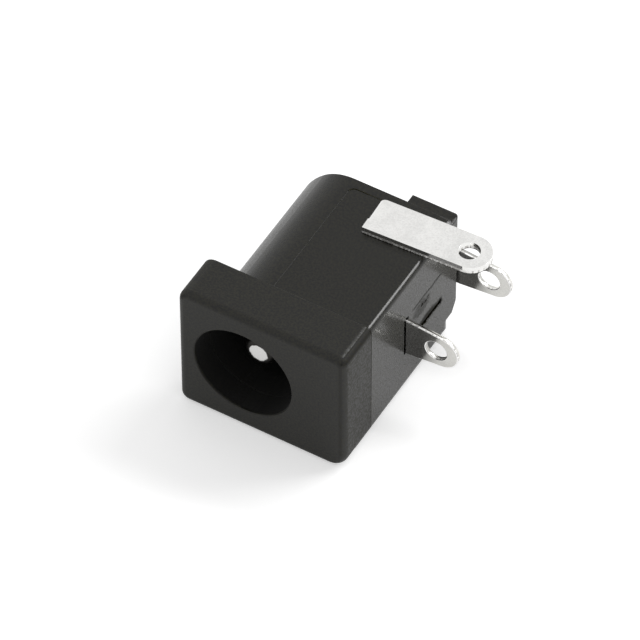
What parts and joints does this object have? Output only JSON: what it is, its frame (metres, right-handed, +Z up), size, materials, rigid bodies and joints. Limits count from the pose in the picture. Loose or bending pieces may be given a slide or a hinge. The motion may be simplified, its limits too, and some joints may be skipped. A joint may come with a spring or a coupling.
{
  "type": "dc barrel jack",
  "caption": "Board-mount barrel power socket: square moulded housing with a round socket and centre pin, rounded barrel crown and stamped solder tabs with eyes.",
  "frame": {"origin": "centre of the round mouth in the flange's front face, on the plug axis", "axes": "the plug axis is Y and the mouth faces -Y; +X points out of the board side, where the solder tabs leave; +Z is up as the jack lies on its side"},
  "size_m": [0.0144, 0.0138, 0.0098],
  "materials": {
    "housing": "fine moulded texture, glossier board face",
    "pin": "nickel plate",
    "terminals": "tin plate, sheared edges"
  },
  "bodies": {
    "root": {"housing": "housing", "centre_pin": "pin", "rear_terminal": "terminals", "spring_terminal": "terminals", "switch_terminal": "terminals"}
  },
  "joints": []
}
